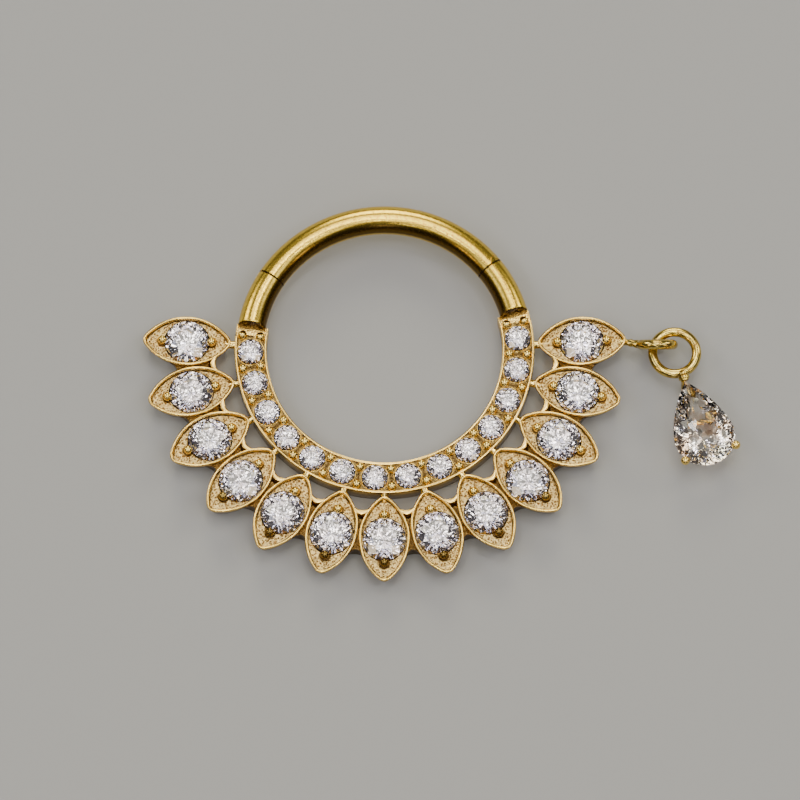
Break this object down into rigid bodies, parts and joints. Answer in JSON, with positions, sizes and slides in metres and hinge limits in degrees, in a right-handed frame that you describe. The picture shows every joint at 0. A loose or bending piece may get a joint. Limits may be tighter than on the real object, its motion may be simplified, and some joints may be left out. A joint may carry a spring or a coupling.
{
  "type": "piercing hoop",
  "caption": "Hinged clicker hoop of gold wire with a pavé band, a fan of stone-set leaf cells and a pear drop on a jump ring, lying on its back.",
  "frame": {"origin": "middle of the whole object's footprint, in the plane of its back, on the surface that it rests on", "axes": "+Z out of the jewelled front, along the hoop's axis; +Y towards the hinged segment; +X towards the side that carries the drop"},
  "size_m": [0.0252, 0.0165, 0.0018],
  "materials": {
    "gold": "polished yellow gold, satin in the recesses",
    "clear_stone": "clear cut stone, polished facets"
  },
  "bodies": {
    "root": {"hoop_body": "gold", "hinge_pin": "gold", "fan_stone_1": "clear_stone", "fan_stone_2": "clear_stone", "fan_stone_3": "clear_stone", "fan_stone_4": "clear_stone", "fan_stone_5": "clear_stone", "fan_stone_6": "clear_stone", "fan_stone_7": "clear_stone", "fan_stone_8": "clear_stone", "fan_stone_9": "clear_stone", "fan_stone_10": "clear_stone", "fan_stone_11": "clear_stone", "fan_stone_12": "clear_stone", "fan_stone_13": "clear_stone", "pave_stone_1": "clear_stone", "pave_stone_2": "clear_stone", "pave_stone_3": "clear_stone", "pave_stone_4": "clear_stone", "pave_stone_5": "clear_stone", "pave_stone_6": "clear_stone", "pave_stone_7": "clear_stone", "pave_stone_8": "clear_stone", "pave_stone_9": "clear_stone", "pave_stone_10": "clear_stone", "pave_stone_11": "clear_stone", "pave_stone_12": "clear_stone", "pave_stone_13": "clear_stone", "pave_stone_14": "clear_stone", "drop_setting": "gold", "drop_stone": "clear_stone"},
    "segment": {"hinged_segment": "gold"}
  },
  "joints": [
    {"name": "segment_hinge", "type": "hinge", "parent": "root", "child": "segment", "pos_m": [0.00237, 0.0057, 0.0012], "axis": [0, 0, -1], "range_deg": [0, 90]}
  ]
}
